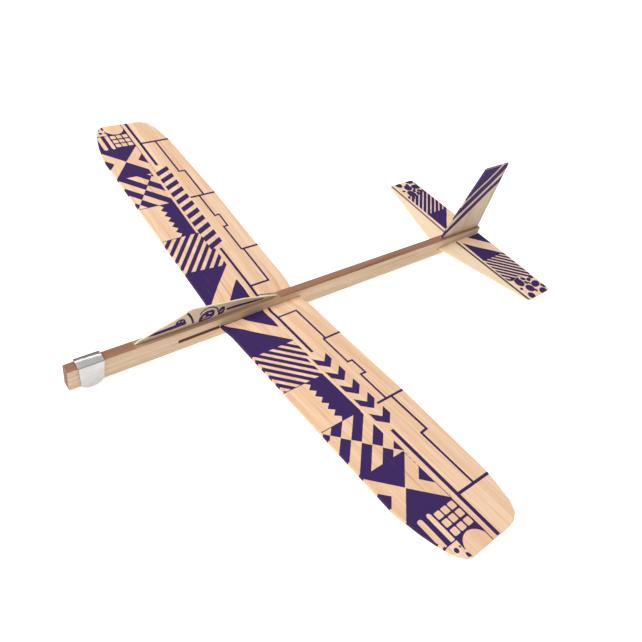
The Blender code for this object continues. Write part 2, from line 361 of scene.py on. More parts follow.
def cover(layers, board, cuts):
    """Triangles of the inked area in flat coordinates: each layer is drawn over those before it."""
    coords, faces, owner = [], [], []

    def add(points):
        if area(points) < 0:
            points = points[::-1]
        start = len(coords)
        coords.extend(Vector(p) for p in points)
        faces.append(list(range(start, start + len(points))))
        return len(faces) - 1

    board_id = add([(x * MM, y * MM) for x, y in board])
    for kind, shapes in layers:
        owner.append((kind, [add(chopped(shape)) for shape in shapes]))
    edges = []
    for (x0, y0), (x1, y1) in cuts:
        edges.append((len(coords), len(coords) + 1))
        coords.extend((Vector((x0 * MM, y0 * MM)), Vector((x1 * MM, y1 * MM))))
    points, _, tris, _, _, origins = geometry.delaunay_2d_cdt(coords, edges, faces, 1, 1e-7, True)
    kept = []
    for tri, inside in zip(tris, origins):
        inside = set(inside)
        if board_id not in inside:
            continue
        state = "bare"
        for kind, ids in owner:
            if inside.issuperset(ids):
                state = kind
        if state == "ink":
            kept.append(tuple(tri))
    return points, kept


def split_pinches(tris):
    """Gives each fan of triangles its own corner, so that areas that only touch at a point come apart."""
    parent = {}

    def find(item):
        parent.setdefault(item, item)
        while parent[item] != item:
            parent[item] = parent[parent[item]]
            item = parent[item]
        return item

    by_edge = {}
    for index, tri in enumerate(tris):
        for a, b in zip(tri, tri[1:] + tri[:1]):
            by_edge.setdefault(frozenset((a, b)), []).append(index)
    for edge, owners in by_edge.items():
        for corner in edge:
            for other in owners[1:]:
                parent[find((owners[0], corner))] = find((other, corner))
    numbers = {}
    origin = []
    out = []
    for index, tri in enumerate(tris):
        face = []
        for corner in tri:
            root = find((index, corner))
            if root not in numbers:
                numbers[root] = len(origin)
                origin.append(corner)
            face.append(numbers[root])
        out.append(tuple(face))
    return origin, out


def pulled_in(points, amount):
    """Outline moved inwards by an even amount."""
    corners = [Vector(point) for point in points]
    out = []
    for before, here, after in zip(corners[-1:] + corners[:-1], corners, corners[1:] + corners[:1]):
        first = (here - before).orthogonal().normalized()
        second = (after - here).orthogonal().normalized()
        out.append(tuple(here + (first + second) * (amount / (1.0 + first.dot(second)))))
    return out


def board_of(outline, root):
    """Where ink may lie on a half sheet: its outline pulled in a little, from the root outwards."""
    points = pulled_in(outline, EDGE_INSET)

    def at_root(inner, outer):
        share = (root - inner[0]) / (outer[0] - inner[0])
        return (root, inner[1] + share * (outer[1] - inner[1]))

    return [at_root(points[0], points[1])] + points[1:-1] + [at_root(points[-1], points[-2])]


def within(point, polygon):
    """Whether a point lies inside a polygon."""
    u, v = point
    odd = False
    for (u0, v0), (u1, v1) in zip(polygon, polygon[1:] + polygon[:1]):
        if (v0 > v) != (v1 > v) and u < u0 + (v - v0) / (v1 - v0) * (u1 - u0):
            odd = not odd
    return odd


def is_ink(layers, point):
    """Whether the topmost layer at a point is ink."""
    state = "bare"
    for kind, shapes in layers:
        if all(within(point, shape) for shape in shapes):
            state = kind
    return state == "ink"


def edge_runs(layers, edge):
    """Stretches of a sheet's edge reached by the print, as lists of (point, outward direction).
    The edge is walked with the sheet on its left."""
    runs, run = [], []
    corners = [Vector(point) for point in edge]
    outward = [-(b - a).orthogonal().normalized() for a, b in zip(corners, corners[1:])]
    for i, (a, b) in enumerate(zip(corners, corners[1:])):
        count = max(1, round((b - a).length / WALK_STEP))
        for j in range(count):
            way = (outward[max(i - 1, 0)] + outward[i]).normalized() if j == 0 else outward[i]
            point = a + (b - a) * (j / count)
            if is_ink(layers, tuple(point - way * LOOK_IN)):
                run.append((point, way))
            else:
                runs.append(run)
                run = []
    runs.append(run)
    return [run for run in runs if len(run) > 1]


def edge_section(round_off, drop):
    """Corners of a film over a rounded edge, as (outwards, upwards) from where the sharp edge would be."""
    def bend(radius):
        turns = [math.radians(angle) for angle in (73.0, 48.0, 24.0, 0.0)]
        return [(radius * math.cos(turn) - round_off, radius * math.sin(turn) - round_off) for turn in turns]

    near, far = INK_LIFT / MM, (INK_LIFT + INK_DEPTH) / MM
    inner = bend(round_off + near) + [(near, -drop)]
    return bend(round_off + far) + [(far, -drop)] + inner[::-1]


def ink_object(name, points, faces, simplify):
    """New piece from points and faces, all facing outwards. simplify merges its flat areas, and drops
    needle faces that then lie back to back on the same corners with nothing between them."""
    mesh = bpy.data.meshes.new(name)
    mesh.from_pydata(points, [], faces)
    bm = bmesh.new()
    bm.from_mesh(mesh)
    bmesh.ops.recalc_face_normals(bm, faces=bm.faces)
    if simplify:
        bmesh.ops.dissolve_limit(bm, angle_limit=math.radians(0.05), verts=bm.verts, edges=bm.edges)
        bmesh.ops.triangulate(bm, faces=bm.faces)
        on_corners = {}
        for face in bm.faces:
            on_corners.setdefault(frozenset(face.verts), []).append(face)
        doubled = [face for pair in on_corners.values() if len(pair) > 1 for face in pair]
        bmesh.ops.delete(bm, geom=doubled, context="FACES")
    bm.to_mesh(mesh)
    bm.free()
    obj = bpy.data.objects.new(name, mesh)
    bpy.context.scene.collection.objects.link(obj)
    return obj


def edge_ink(name, layers, edge, place, round_off, drop, material, body):
    """Ink carried over a sheet's rounded edge and down most of its side, wherever the print reaches it."""
    section = edge_section(round_off, drop)
    count = len(section)
    bm = bmesh.new()
    bm.from_mesh(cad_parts[body].data)
    solid = BVHTree.FromBMesh(bm)
    bm.free()
    points, faces = [], []
    for run in edge_runs(layers, edge):
        start = len(points)
        for corner, way in run:
            base = place(*((corner - way) * MM), 0.0)
            rise = (place(*((corner - way) * MM), MM) - base).normalized()
            ahead = (base - place(*((corner - way * 1.5) * MM), 0.0)).normalized()
            middle = base - rise * (0.5 * drop * MM)
            face = solid.ray_cast(middle + ahead * (4.0 * MM), -ahead)[0]
            reach = (face - middle).dot(ahead)
            points += [base + ahead * (reach + out * MM) + rise * (up * MM) for out, up in section]
        for row in range(len(run) - 1):
            for k in range(count):
                a, b = start + row * count + k, start + row * count + (k + 1) % count
                faces.append((a, b, b + count, a + count))
        faces.append(tuple(start + k for k in range(count)))
        faces.append(tuple(start + (len(run) - 1) * count + k for k in reversed(range(count))))
    return give(ink_object(name, points, faces, False), material, body)


def ink_piece(name, layers, board, cuts, place, material, body):
    """Thin film of ink over a sheet. place(u, v, lift) is where a flat point lies, lift above the wood."""
    points, tris = cover(layers, board, cuts)
    origin, tris = split_pinches(tris)
    tops = [place(*points[i], INK_LIFT + INK_DEPTH) for i in origin]
    lows = [place(*points[i], INK_LIFT) for i in origin]
    count = len(origin)
    faces = list(tris) + [tuple(i + count for i in tri[::-1]) for tri in tris]
    used = {}
    for tri in tris:
        for a, b in zip(tri, tri[1:] + tri[:1]):
            used[(a, b)] = used.get((a, b), 0) + 1
    for a, b in used:
        if (b, a) not in used:
            faces.append((b, a, a + count, b + count))
    return give(ink_object(name, tops + lows, faces, True), material, body)


# ---------------------------------------------------------------- wing

WING_OUTLINE = [(0.0, -1.2), (124.0, -3.25), (127.0, -2.8), (130.2, -2.1), (136.0, -1.05), (142.0, 0.6),
                (146.5, 2.3), (149.6, 3.8), (152.2, 6.2), (153.0, 8.4), (153.2, 29.0), (152.8, 32.0),
                (150.9, 35.5), (146.2, 38.2), (133.0, 41.2), (82.0, 44.2), (40.0, 45.2), (0.0, 46.6)]
WING_TILT = 0.018                      # the sheet's nose-up slope
WING_SURE = (1.0 * MM, 30.0 * MM)      # fore and aft, a stretch where the sheet lies right out to its tip


class WingTop:
    """Place of a point given along a wing half (u) and fore and aft (v), measured on the CAD solid."""

    def __init__(self):
        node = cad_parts["wing"]
        bm = bmesh.new()
        bm.from_mesh(node.data)
        self.tree = BVHTree.FromBMesh(bm)
        low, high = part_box("wing")
        self.row = (low.y + high.y) / 2
        xs = sorted({round(vert.co.x, 6) for vert in bm.verts if 0.0 < vert.co.x < 20.0 * MM})
        bm.free()
        self.stations = [0.0] + [x for x in xs if self.is_bend(x)] + [high.x - 1.0 * MM]
        self.along = [0.0]
        for a, b in zip(self.stations, self.stations[1:]):
            rise = self.height(b, self.row)[0] - self.height(a, self.row)[0]
            self.along.append(self.along[-1] + math.hypot(b - a, rise))

    def height(self, x, y):
        """Height and normal of the sheet's top, or None where there is no sheet."""
        hit, normal, _, _ = self.tree.ray_cast(Vector((x, y, 0.2)), Vector((0.0, 0.0, -1.0)))
        if hit is None:
            return None, None
        return hit.z, normal

    def is_bend(self, x):
        """Whether the sheet's slope changes at x."""
        step = 0.05 * MM
        before = self.height(x - step, self.row)[0]
        here = self.height(x, self.row)[0]
        after = self.height(x + step, self.row)[0]
        return abs((after - here) - (here - before)) > 0.01 * step

    def across(self, along):
        """Distance from the centre plane of a point that far along the sheet."""
        last = len(self.along) - 2
        index = next((i for i in range(last) if along <= self.along[i + 1]), last)
        share = (along - self.along[index]) / (self.along[index + 1] - self.along[index])
        return self.stations[index] + share * (self.stations[index + 1] - self.stations[index])

    def seated(self, outline):
        """Outline of the flat sheet, moved forward to where the raised and tilted sheet's edge lies."""
        foot = self.height(0.0, self.row)[0]
        out = []
        for u, v in outline:
            rise = self.height(self.across(u * MM), self.row)[0] - foot
            out.append((u, v - WING_TILT * rise / MM))
        return out

    def place(self, side):
        """Function that lays flat points on one half. Just off the sheet, it carries the slope on."""
        def at(u, v, lift):
            x = side * self.across(u)
            z, normal = self.height(x, v)
            if z is None:
                sure = min(max(v, WING_SURE[0]), WING_SURE[1])
                z, normal = self.height(x * 0.9995, sure)
                z += WING_TILT * (v - sure)
            return Vector((x, v, z)) + normal * lift
        return at


ROOT = 2.6                             # where the sheet comes out of the fuselage
ROOT_EDGE = 30.8                       # outboard side of the root triangle
STRIPE_END = 56.2
CHECK_START = 81.8
STRIPE_TOP = 19.2                      # rear limit of the stripes
STRIPE_RISE = 2.8                      # width of a stripe, measured fore and aft
# By side, 1.0 for the left half: rear limits of the saw band and checks; slope, start and pitch of stripes
BAND_TOP = {1.0: 19.1, -1.0: 17.6}
CHECK_TOP = {1.0: 18.8, -1.0: 17.5}
CHECK_PEAK = {1.0: 19.9, -1.0: 16.8}
STRIPES = {1.0: (0.90, -11.72, 5.15), -1.0: (0.97, -9.76, 5.35)}


def root_triangle(side):
    """Solid triangle beside the fuselage, along the front edge."""
    if side > 0:
        rise = [(ROOT, -0.5), (3.3, 0.0), (10.0, 4.2), (15.0, 7.7), (20.0, 12.2), (25.0, 16.8), (30.4, 21.7),
                (30.8, 21.2), (30.8, -6.0)]
    else:
        rise = [(ROOT, -5.8), (9.5, 0.0), (15.0, 5.3), (20.0, 10.2), (25.0, 15.5), (30.3, 21.1),
                (30.5, 21.0), (33.0, -6.0)]
    return inked(rise + [(ROOT, -6.0)])


def wing_stripes(side):
    """Slanted stripes between the root triangle and the saw band."""
    foot = 0.0 if side > 0 else 2.2
    region = [(ROOT_EDGE - 0.15 * foot, 21.3), (ROOT_EDGE + foot, -6.0), (STRIPE_END, -6.0),
              (STRIPE_END, STRIPE_TOP), (43.2, STRIPE_TOP), (43.0, 21.3)]
    slope, first, pitch = STRIPES[side]
    width = STRIPE_RISE / math.hypot(1.0, slope)
    layers = []
    for i in range(9):
        offset = first - pitch * i
        stripe = band((20.0, 20.0 * slope + offset), (90.0, 90.0 * slope + offset), width)
        layers.append(("ink", [stripe, region]))
    return layers


def saw_band(side):
    """Solid band with teeth along its front."""
    points = [(STRIPE_END, 8.2)]
    for i in range(6):
        tip = STRIPE_END + 0.1 + 4.24 * i
        points += [(tip + 2.1, 10.25), (tip + 4.24, 7.7)]
    points[-1] = (CHECK_START, 8.6)
    return inked(points + [(CHECK_START, BAND_TOP[side]), (STRIPE_END, BAND_TOP[side])])


def checks(side):
    """Slanted columns that change from ink to wood where they cross the dividing line."""
    first, step_u, step_v, lean = (81.5, -3.15), 3.20, 2.87, -1.0
    top, peak = CHECK_TOP[side], CHECK_PEAK[side]

    def edge(k):
        u, v = first[0] + step_u * k, first[1] + step_v * k
        return (u - 30.0, v - 30.0 * lean), (u + 30.0, v + 30.0 * lean)

    upper = [(CHECK_START, -3.3), (107.2, peak), (100.6, peak), (99.6, top), (CHECK_START, top)]
    lower = [(CHECK_START, -3.3), (75.0, -12.0), (107.0, -6.0), (107.0, top), (107.2, top)]
    layers = []
    for k in range(8):
        column = [*edge(k), *edge(k + 1)[::-1]]
        layers.append(("ink", [column, upper if k % 2 else lower]))
    crest = [(107.8, 19.3), (107.0, 19.3)] if side > 0 else [(110.8, 16.8), (107.0, 16.8)]
    return layers + inked([(107.0, -6.0), (107.3, -3.8), (119.7, 7.5)] + crest)


def tip_art(side):
    """Outer decoration, a little narrower on the right half."""
    layers = inked([(120.0, 7.6), (132.5, 19.2), (148.4, 19.2), (154.9, 18.8), (154.9, -6.0), (130.6, -6.0),
                    (130.8, -3.2)])
    for u in (135.05, 138.9, 142.9):
        for v in (16.9, 13.2, 9.6):
            layers += bare(cushion((u, v), 1.5))
    layers += bare([(132.2, 6.1), (132.6, 6.9), (133.4, 7.2), (144.9, 7.2), (145.1, 6.4), (144.9, 5.1),
                    (133.4, 5.1), (132.6, 5.4)])
    layers += bare([(132.2, 1.6), (132.5, 2.4), (133.2, 2.8), (145.0, 2.8), (145.0, -1.0), (143.0, -1.0),
                    (142.0, 0.3), (133.2, 0.3), (132.5, 0.7)])
    layers += bare([(145.1, 7.6), (155.0, 7.6), (155.0, -6.0), (143.4, -6.0), (143.5, 1.7), (145.1, 2.6)])
    layers += bare(oval((152.4, 13.0), 7.1, 6.2, 0.0, 36))
    layers += bare([(151.0, 19.0), (155.0, 19.0), (155.0, 8.0), (151.0, 8.0)])
    layers += inked(*line([(145.0, 19.0), (155.0, 18.7)], 0.4), *line([(145.0, 7.6), (149.6, 7.3)], 0.5))
    layers += inked(*line([(145.3, 1.2), (145.3, 7.6)], 0.4), oval((145.2, 1.5), 0.7, 0.5, 0.0, 10))
    layers += inked(oval((148.1, 4.3), 1.05, 0.95, 0.0, 14), oval((151.9, 6.7), 1.5, 0.75, 0.1, 14))
    layers += inked(oval((151.3, 4.2), 0.9, 0.65, 0.0, 12), oval((147.8, 6.5), 0.5, 0.4, 0.0, 8))
    if side > 0:
        return layers
    return [(kind, [[(u - 0.045 * max(0.0, u - 125.0), v) for u, v in shape] for shape in shapes])
            for kind, shapes in layers]


def forward_print(side):
    """All the decoration ahead of the spar line, from root to tip."""
    layers = root_triangle(side) + wing_stripes(side)
    if side > 0:
        inner = [(ROOT, 23.3), (10.0, 22.1), (19.2, 21.4), (15.0, 17.2), (10.0, 13.6), (5.0, 11.2),
                 (ROOT, 10.2)]
    else:
        inner = [(ROOT, 22.3), (10.0, 21.5), (19.6, 20.9), (19.3, 20.2), (15.0, 16.0), (9.5, 11.2),
                 (ROOT, 4.6)]
    layers += inked(inner)
    layers += inked(*line([(STRIPE_END, -4.0), (STRIPE_END, 9.0)], 0.35))
    layers += saw_band(side) + checks(side)
    layers += inked(*line([(CHECK_START, -4.0), (CHECK_START, 9.0)], 0.4))
    layers += inked([(115.6, 19.3), (120.0, 14.8), (125.0, 19.3)])
    layers += inked([(114.6, -4.3), (119.5, 0.5), (124.4, -4.3)])
    layers += tip_art(side)
    dash = 108.0
    while dash < 115.0:
        layers += inked(*line([(dash, 19.2), (dash + 1.5, 19.2)], 0.28))
        dash += 2.3
    return layers + inked(*line([(124.8, 19.2), (133.0, 19.2)], 0.3))


def panel_lines(side):
    """Thin lines that draw the flaps and ailerons."""
    root_line = [(3.1, -1.2), (3.1, 10.5)] if side > 0 else [(4.9, 36.0), (6.8, 26.6)]
    runs = [
        ([(133.2, 22.3), (133.7, 41.5)], 1.3),
        ([(133.0, 31.9), (104.6, 32.6), (104.2, 36.2), (82.6, 36.6)], 1.1),
        ([(82.4, 28.2), (82.5, 44.2)], 1.2),
        ([(82.5, 33.6), (65.1, 34.0), (65.3, 36.8), (55.9, 36.8), (55.8, 34.3), (37.3, 34.7)], 1.0),
        ([(37.4, 34.6), (37.4, 45.3)], 1.2),
        ([(37.3, 35.9), (13.0, 36.5), (13.0, 25.1)], 1.1),
        (root_line, 0.5),
    ]
    layers = []
    for points, width in runs:
        layers += inked(*line(points, width))
    return layers


def spar(gap_end):
    """Thick line along the span, broken off for the row of marks that ends at gap_end."""
    first = line([(ROOT, 26.8), (8.0, 25.6), (13.0, 25.1), (42.0, 24.2)], 1.45)
    start = 23.2 - 0.0212 * (gap_end - 96.5)
    return inked(*first, *line([(gap_end, start), (153.0, 22.0)], 1.7))


def chevrons():
    """Plain arrowheads pointing outboard."""
    layers = []
    for i in range(5):
        u = 45.6 + 9.8 * i
        layers += inked([(u, 20.8), (u + 4.6, 20.8), (u + 8.8, 25.0), (u + 4.6, 29.2), (u, 29.2),
                         (u + 4.2, 25.0)])
    return layers


def slashes():
    """Plain slanted blocks."""
    layers = []
    for i in range(11):
        u = 42.5 + 6.1 * i
        layers += inked([(u, 19.0), (u + 3.3, 19.0), (u + 7.2, 27.8), (u + 3.9, 27.8)])
    return layers


def build_wing(ink):
    """Wing sheet with a print on each half, carried over its front edge."""
    light, deep, pore = (252, 216, 184), (236, 190, 150), (206, 150, 108)
    wood = balsa("wing_balsa_grain", light, deep, pore, "X")
    give(softened("wing_sheet", "wing", SHEET_ROUND * MM), wood, "wing")
    top = WingTop()
    outline = top.seated(WING_OUTLINE)
    board = board_of(outline, ROOT)
    front_edge = [(ROOT, outline[0][1])] + outline[1:8]
    tip_edge = inked([(131.0, -6.0), (143.2, -6.0), (143.2, 3.0), (131.0, 3.0)])
    cuts = [((u / MM, -8.0), (u / MM, 50.0)) for u in top.along[1:-1]]
    halves = ((1.0, "left", spar(96.5) + chevrons()), (-1.0, "right", spar(112.7) + slashes()))
    for side, word, extras in halves:
        layers = forward_print(side) + panel_lines(side) + extras
        place = top.place(side)
        ink_piece("wing_print_" + word, layers, board, cuts, place, ink, "wing")
        edge_ink("wing_edge_" + word, layers + tip_edge, front_edge, place, SHEET_ROUND, FRONT_DROP, ink,
                 "wing")


# ---------------------------------------------------------------- tailplane

TAIL_OUTLINE = [(0.0, 160.0), (62.6, 177.7), (63.8, 178.4), (64.3, 179.5), (64.3, 198.6), (63.6, 199.9),
                (62.5, 200.3), (0.0, 200.3)]
TAIL_ROOT = 2.9
PRINT_SHIFT = 1.25                     # the tail decoration lies this far to the glider's right
PRINT_TURN = 0.0175                    # and is turned by this slope


def tail_print(side):
    """Decoration of one half. All but the spots is drawn about its own centre line, then shifted and
    turned."""
    front = 180.45
    layers = inked([(6.7, front), (26.5, front), (26.5, 199.4), (21.25, 194.5), (16.25, 189.0),
                    (11.25, 184.1)])
    layers += inked([(1.0, 186.0), (4.25, 188.6), (6.2, 190.4), (16.3, 200.45), (18.3, 202.5), (1.0, 202.5)])
    region = [(26.3, front), (48.0, front), (48.6, 185.0), (47.0, 190.0), (50.5, 196.0), (49.0, 202.5),
              (26.3, 202.5)]
    rise, wide = (0.1, 1.85) if side > 0 else (-0.6, 2.05)
    for i in range(12):
        offset = 172.0 + rise - 4.1 * i
        stripe = band((150.0 - offset, 150.0), (230.0 - offset, 230.0), wide)
        layers.append(("ink", [stripe, region]))
    moved = []
    for kind, shapes in layers:
        laid = []
        for shape in shapes:
            along = [(u - side * PRINT_SHIFT, v) for u, v in shape]
            laid.append([(u, v - side * PRINT_TURN * u) for u, v in along])
        moved.append((kind, laid))
    blobs = [((50.5, 185.9), 3.5, 3.0, 0.0), ((57.3, 188.4), 3.0, 2.8, 0.5), ((56.2, 195.4), 2.4, 3.6, 0.2),
             ((62.2, 183.8), 2.6, 2.4, 0.0), ((62.8, 195.0), 2.3, 3.0, 0.2), ((46.3, 183.8), 1.2, 1.2, 0.0),
             ((55.1, 182.3), 1.0, 1.2, 0.1), ((49.3, 191.2), 1.8, 1.3, 0.7), ((52.6, 190.3), 1.4, 1.2, 0.2),
             ((51.5, 194.4), 1.4, 1.8, 0.3), ((54.0, 192.0), 1.0, 0.8, 0.0), ((50.3, 197.8), 1.9, 1.5, 0.5),
             ((60.4, 190.6), 1.3, 1.0, 0.0), ((59.8, 198.8), 2.0, 1.2, 0.3), ((47.2, 187.8), 0.9, 1.2, 0.0)]
    across, back, grown = (0.0, 0.0, 1.04) if side > 0 else (0.4, 1.8, 1.09)
    for (u, v), half_u, half_v, turn in blobs:
        moved += inked(oval((u + across, v + back), grown * half_u, grown * half_v, turn, 18))
    return moved


def build_tailplane(ink):
    """Tailplane, printed behind a score line. The line's shaded band is painted shade in the crease, and the
    pale band along its rear side is a painted highlight on the crease's lit rear edge.
    """
    light, deep, pore = (254, 222, 190), (242, 202, 162), (212, 160, 118)
    pale_front = ("Y", 100.0 * MM, 178.1 * MM, (255, 238, 208), 0.55)
    wood = balsa("tail_balsa_grain", light, deep, pore, "X", 0.8, (0.03, 0.02, 0.01), pale_front)
    give(softened("tailplane_sheet", "tailplane", THIN_ROUND * MM), wood, "tailplane")
    # Pale wood colour of the painted highlight on the crease's lit rear edge.
    lip_highlight = balsa("tail_score_lip", (255, 240, 222), (250, 226, 200), (236, 204, 170), "X", 0.6)
    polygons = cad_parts["tailplane"].data.polygons
    flat = max(polygons, key=lambda polygon: polygon.area * polygon.normal.z)
    normal, centre = flat.normal.copy(), flat.center.copy()

    def at(side):
        def place(u, v, lift):
            rise = -(normal.x * (side * u - centre.x) + normal.y * (v - centre.y)) / normal.z
            return Vector((side * u, v, centre.z + rise)) + normal * lift
        return place

    board = board_of(TAIL_OUTLINE, TAIL_ROOT)
    # By half: where the score line ends, and the colour of its painted shade, deeper on the left half.
    halves = ((1.0, "left", 178.8, linear(92, 72, 62)), (-1.0, "right", 179.7, linear(140, 110, 104)))
    for side, word, score_end, score_shade_colour in halves:
        layers = tail_print(side)
        ink_piece("tail_print_" + word, layers, board, [], at(side), ink, "tailplane")
        brighter = tuple(1.25 * part for part in score_shade_colour)
        # The score line's colour is painted shade in the crease, laid on like ink.
        score_shade = printed("tail_score_" + word, score_shade_colour, brighter, "X")
        score_shade_band = inked(*line([(TAIL_ROOT, 177.2), (64.0, score_end)], 1.7))
        ink_piece("tail_score_line_" + word, score_shade_band, board, [], at(side), score_shade, "tailplane")
        # Pale band behind the score line: painted highlight on the crease's lit rear edge.
        pale = inked(*line([(TAIL_ROOT, 178.45), (64.0, score_end + 1.25)], 0.6))
        ink_piece("tail_lip_line_" + word, pale, board, [], at(side), lip_highlight, "tailplane")


# ---------------------------------------------------------------- fin and canopy

def upright(surface_x):
    """Function that lays flat points on the left face of an upright sheet."""
    def place(u, v, lift):
        return Vector((surface_x + lift, u, v))
    return place


def build_fin(ink):
    """Fin, its left face and its upper edges printed with three swept bands."""
    wood = balsa("fin_balsa_grain", (222, 200, 174), (204, 178, 152), (164, 136, 110), "Z", 0.9,
                 (0.0, 0.05, 0.02))
    give(softened("fin_sheet", "fin", THIN_ROUND * MM), wood, "fin")
    face = upright(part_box("fin")[1].x)
    board = [(161.6, 12.05), (177.2, 58.7), (199.2, 59.2), (199.65, 58.8), (199.65, 12.05)]
    layers = inked(
        [(168.0, 34.5), (170.5, 38.0), (176.0, 43.5), (180.0, 47.0), (185.0, 51.0), (188.0, 54.0),
         (192.5, 58.7), (196.0, 62.0), (170.0, 62.0), (166.0, 38.0)],
        [(163.0, 22.0), (166.0, 25.0), (170.0, 29.0), (175.0, 33.0), (180.0, 37.5), (185.0, 42.0),
         (190.0, 46.5), (195.0, 51.5), (199.7, 56.2), (201.0, 57.5), (201.0, 62.0), (198.0, 62.0),
         (195.0, 59.0), (190.0, 53.5), (185.0, 48.8), (180.0, 44.8), (176.0, 41.0), (173.0, 38.2),
         (170.5, 36.0), (168.0, 32.0), (166.0, 27.0), (163.0, 24.0)],
        [(160.0, 9.5), (162.5, 11.8), (165.0, 15.0), (170.0, 19.2), (175.0, 23.8), (180.0, 28.5),
         (185.0, 33.2), (190.0, 38.2), (195.0, 42.5), (199.7, 46.5), (201.0, 47.6), (201.0, 52.7),
         (199.7, 51.5), (195.0, 47.5), (190.0, 43.2), (185.0, 38.7), (180.0, 34.2), (175.0, 29.8),
         (170.0, 24.5), (166.0, 20.3), (163.0, 17.0), (160.0, 11.5)])
    ink_piece("fin_print", layers, board, [], face, ink, "fin")
    edge = [(199.0, 59.26), (177.1, 58.8), (161.4, 12.1)]
    edge_ink("fin_edge", layers, edge, face, THIN_ROUND, FIN_DROP, ink, "fin")


def build_canopy(ink):
    """Blade whose saw-cut rim is coloured paler where it faces upwards, and a plain cockpit drawing: a wedge,
    a post, two blobs and a tail line.
    """
    wood = balsa("canopy_balsa_grain", (214, 194, 166), (198, 176, 148), (158, 134, 106), "Y", 0.9,
                 (0.01, 0.0, 0.04))
    rim = balsa("canopy_rim_grain", (250, 238, 212), (240, 220, 188), (214, 186, 150), "Y", 0.8)
    blade = softened("canopy_blade", "canopy", THIN_ROUND * MM)
    give(blade, wood, "canopy")
    blade.data.materials.append(rim)
    # Faces of the rim that point upwards take the paler colour.
    for polygon in blade.data.polygons:
        if polygon.normal.z > 0.6:
            polygon.material_index = 1
    board = [(-43.2, 12.0), (-41.3, 13.2), (-36.7, 14.6), (-32.0, 16.2), (-27.2, 17.6), (-22.4, 19.3),
             (-17.6, 21.6), (-16.1, 21.95), (-12.4, 21.3), (-4.5, 20.1), (4.2, 18.7), (12.5, 17.4),
             (21.7, 14.9), (29.4, 13.0), (32.0, 12.0)]
    layers = inked([(-38.0, 14.4), (-35.5, 15.3), (-30.0, 15.5), (-24.5, 15.8), (-19.0, 15.6), (-19.0, 13.9),
                    (-26.0, 13.7), (-34.0, 13.6), (-37.0, 13.9)])
    layers += inked([(-24.5, 15.4), (-24.3, 16.8), (-23.2, 18.1), (-21.6, 18.4), (-20.2, 17.8),
                     (-19.4, 16.6), (-19.2, 15.3)])
    layers += bare(oval((-22.6, 16.9), 0.55, 0.3, 0.3, 10), oval((-20.9, 16.6), 0.5, 0.28, 0.6, 10))
    layers += inked(*line([(-18.7, 20.8), (-17.6, 19.3), (-16.8, 17.8), (-15.9, 15.6), (-15.3, 13.0)], 1.1))
    layers += inked([(-12.5, 12.2), (-12.3, 14.6), (-11.0, 16.6), (-8.6, 17.9), (-5.4, 17.8), (-4.0, 16.4),
                     (-4.2, 13.9), (-6.0, 12.4)])
    layers += bare(oval((-9.6, 14.8), 0.9, 0.45, 0.4, 12), oval((-6.6, 15.9), 1.0, 0.4, -0.2, 12))
    layers += bare(*line([(-10.8, 13.3), (-6.2, 13.6)], 0.4))
    layers += inked(*line([(-11.9, 16.8), (-11.2, 18.3), (-9.6, 19.4), (-7.6, 19.8), (-5.2, 19.3),
                           (-3.2, 18.0), (-2.4, 16.4), (-2.2, 14.8)], 0.7))
    layers += inked([(-2.1, 12.6), (-2.2, 14.6), (-1.4, 16.8), (0.1, 17.7), (1.3, 16.9), (1.6, 14.9),
                     (0.6, 12.9)])
    layers += bare(*line([(-1.2, 14.2), (0.6, 15.4)], 0.4))
    layers += inked([(2.5, 14.0), (7.3, 13.9), (13.0, 13.5), (24.0, 13.0), (24.2, 13.7), (13.0, 14.9),
                     (7.3, 15.4), (2.5, 15.4)])
    face = upright(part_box("canopy")[1].x)
    ink_piece("canopy_print", layers, board, [], face, ink, "canopy")


# ---------------------------------------------------------------- fuselage and nose weight

SKIN = 0.6 * MM                        # faces nearer than this to the stick's box are outside ones


def build_fuselage():
    """Stick with its own material on the flanks, the saw-cut top, the slots' insides and the two ends. The
    slots' cut insides are coloured darker as painted shade in the recesses, and the top is coloured lighter
    beside the canopy as painted light thrown off the canopy.
    """
    flank = balsa("fuselage_flank_grain", (222, 196, 168), (202, 172, 142), (160, 128, 98), "Y")
    # Painted light: the top face is coloured lighter along the canopy, standing for light the canopy's bright
    # side throws on it.
    canopy_bounce_light = ("Y", -44.0 * MM, 34.0 * MM, (190, 158, 118), 0.6)
    crown = balsa("fuselage_crown_grain_and_canopy_bounce", (164, 120, 95), (146, 102, 78), (108, 72, 50), "Y", 1.1,
                  (0.02, 0.0, 0.03), canopy_bounce_light)
    # Slots' insides: cut wood coloured darker, painted shade in the recesses.
    slot_shade = balsa("fuselage_slot_painted_shade", (150, 120, 94), (132, 102, 78), (98, 72, 52), "Y")
    end = balsa("fuselage_end_grain", (152, 110, 88), (136, 94, 72), (100, 66, 46), "Y")
    stick = softened("fuselage_stick", "fuselage", 0.18 * MM)
    give(stick, flank, "fuselage")
    looks = [flank, crown, slot_shade, end]
    for look in looks[1:]:
        stick.data.materials.append(look)
    low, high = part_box("fuselage")
    for polygon in stick.data.polygons:
        normal, centre = polygon.normal, polygon.center
        outside = (centre.z > high.z - SKIN or centre.z < low.z + SKIN
                   or centre.y > high.y - SKIN or centre.y < low.y + SKIN)
        look = flank
        # Faces turned inwards, away from the stick's outside, are the slots' insides and get the painted
        # shade.
        if abs(normal.x) < 0.6 and not outside:
            look = slot_shade
        elif abs(normal.y) > 0.9:
            look = end
        elif normal.z > 0.75:
            look = crown
        polygon.material_index = looks.index(look)


def build_nose_weight():
    """Folded steel strip over the nose."""
    clip = softened("nose_weight_strip", "nose_weight", 0.10 * MM, math.radians(35))
    give(clip, steel("nose_weight_steel"), "nose_weight")


# ---------------------------------------------------------------- stage

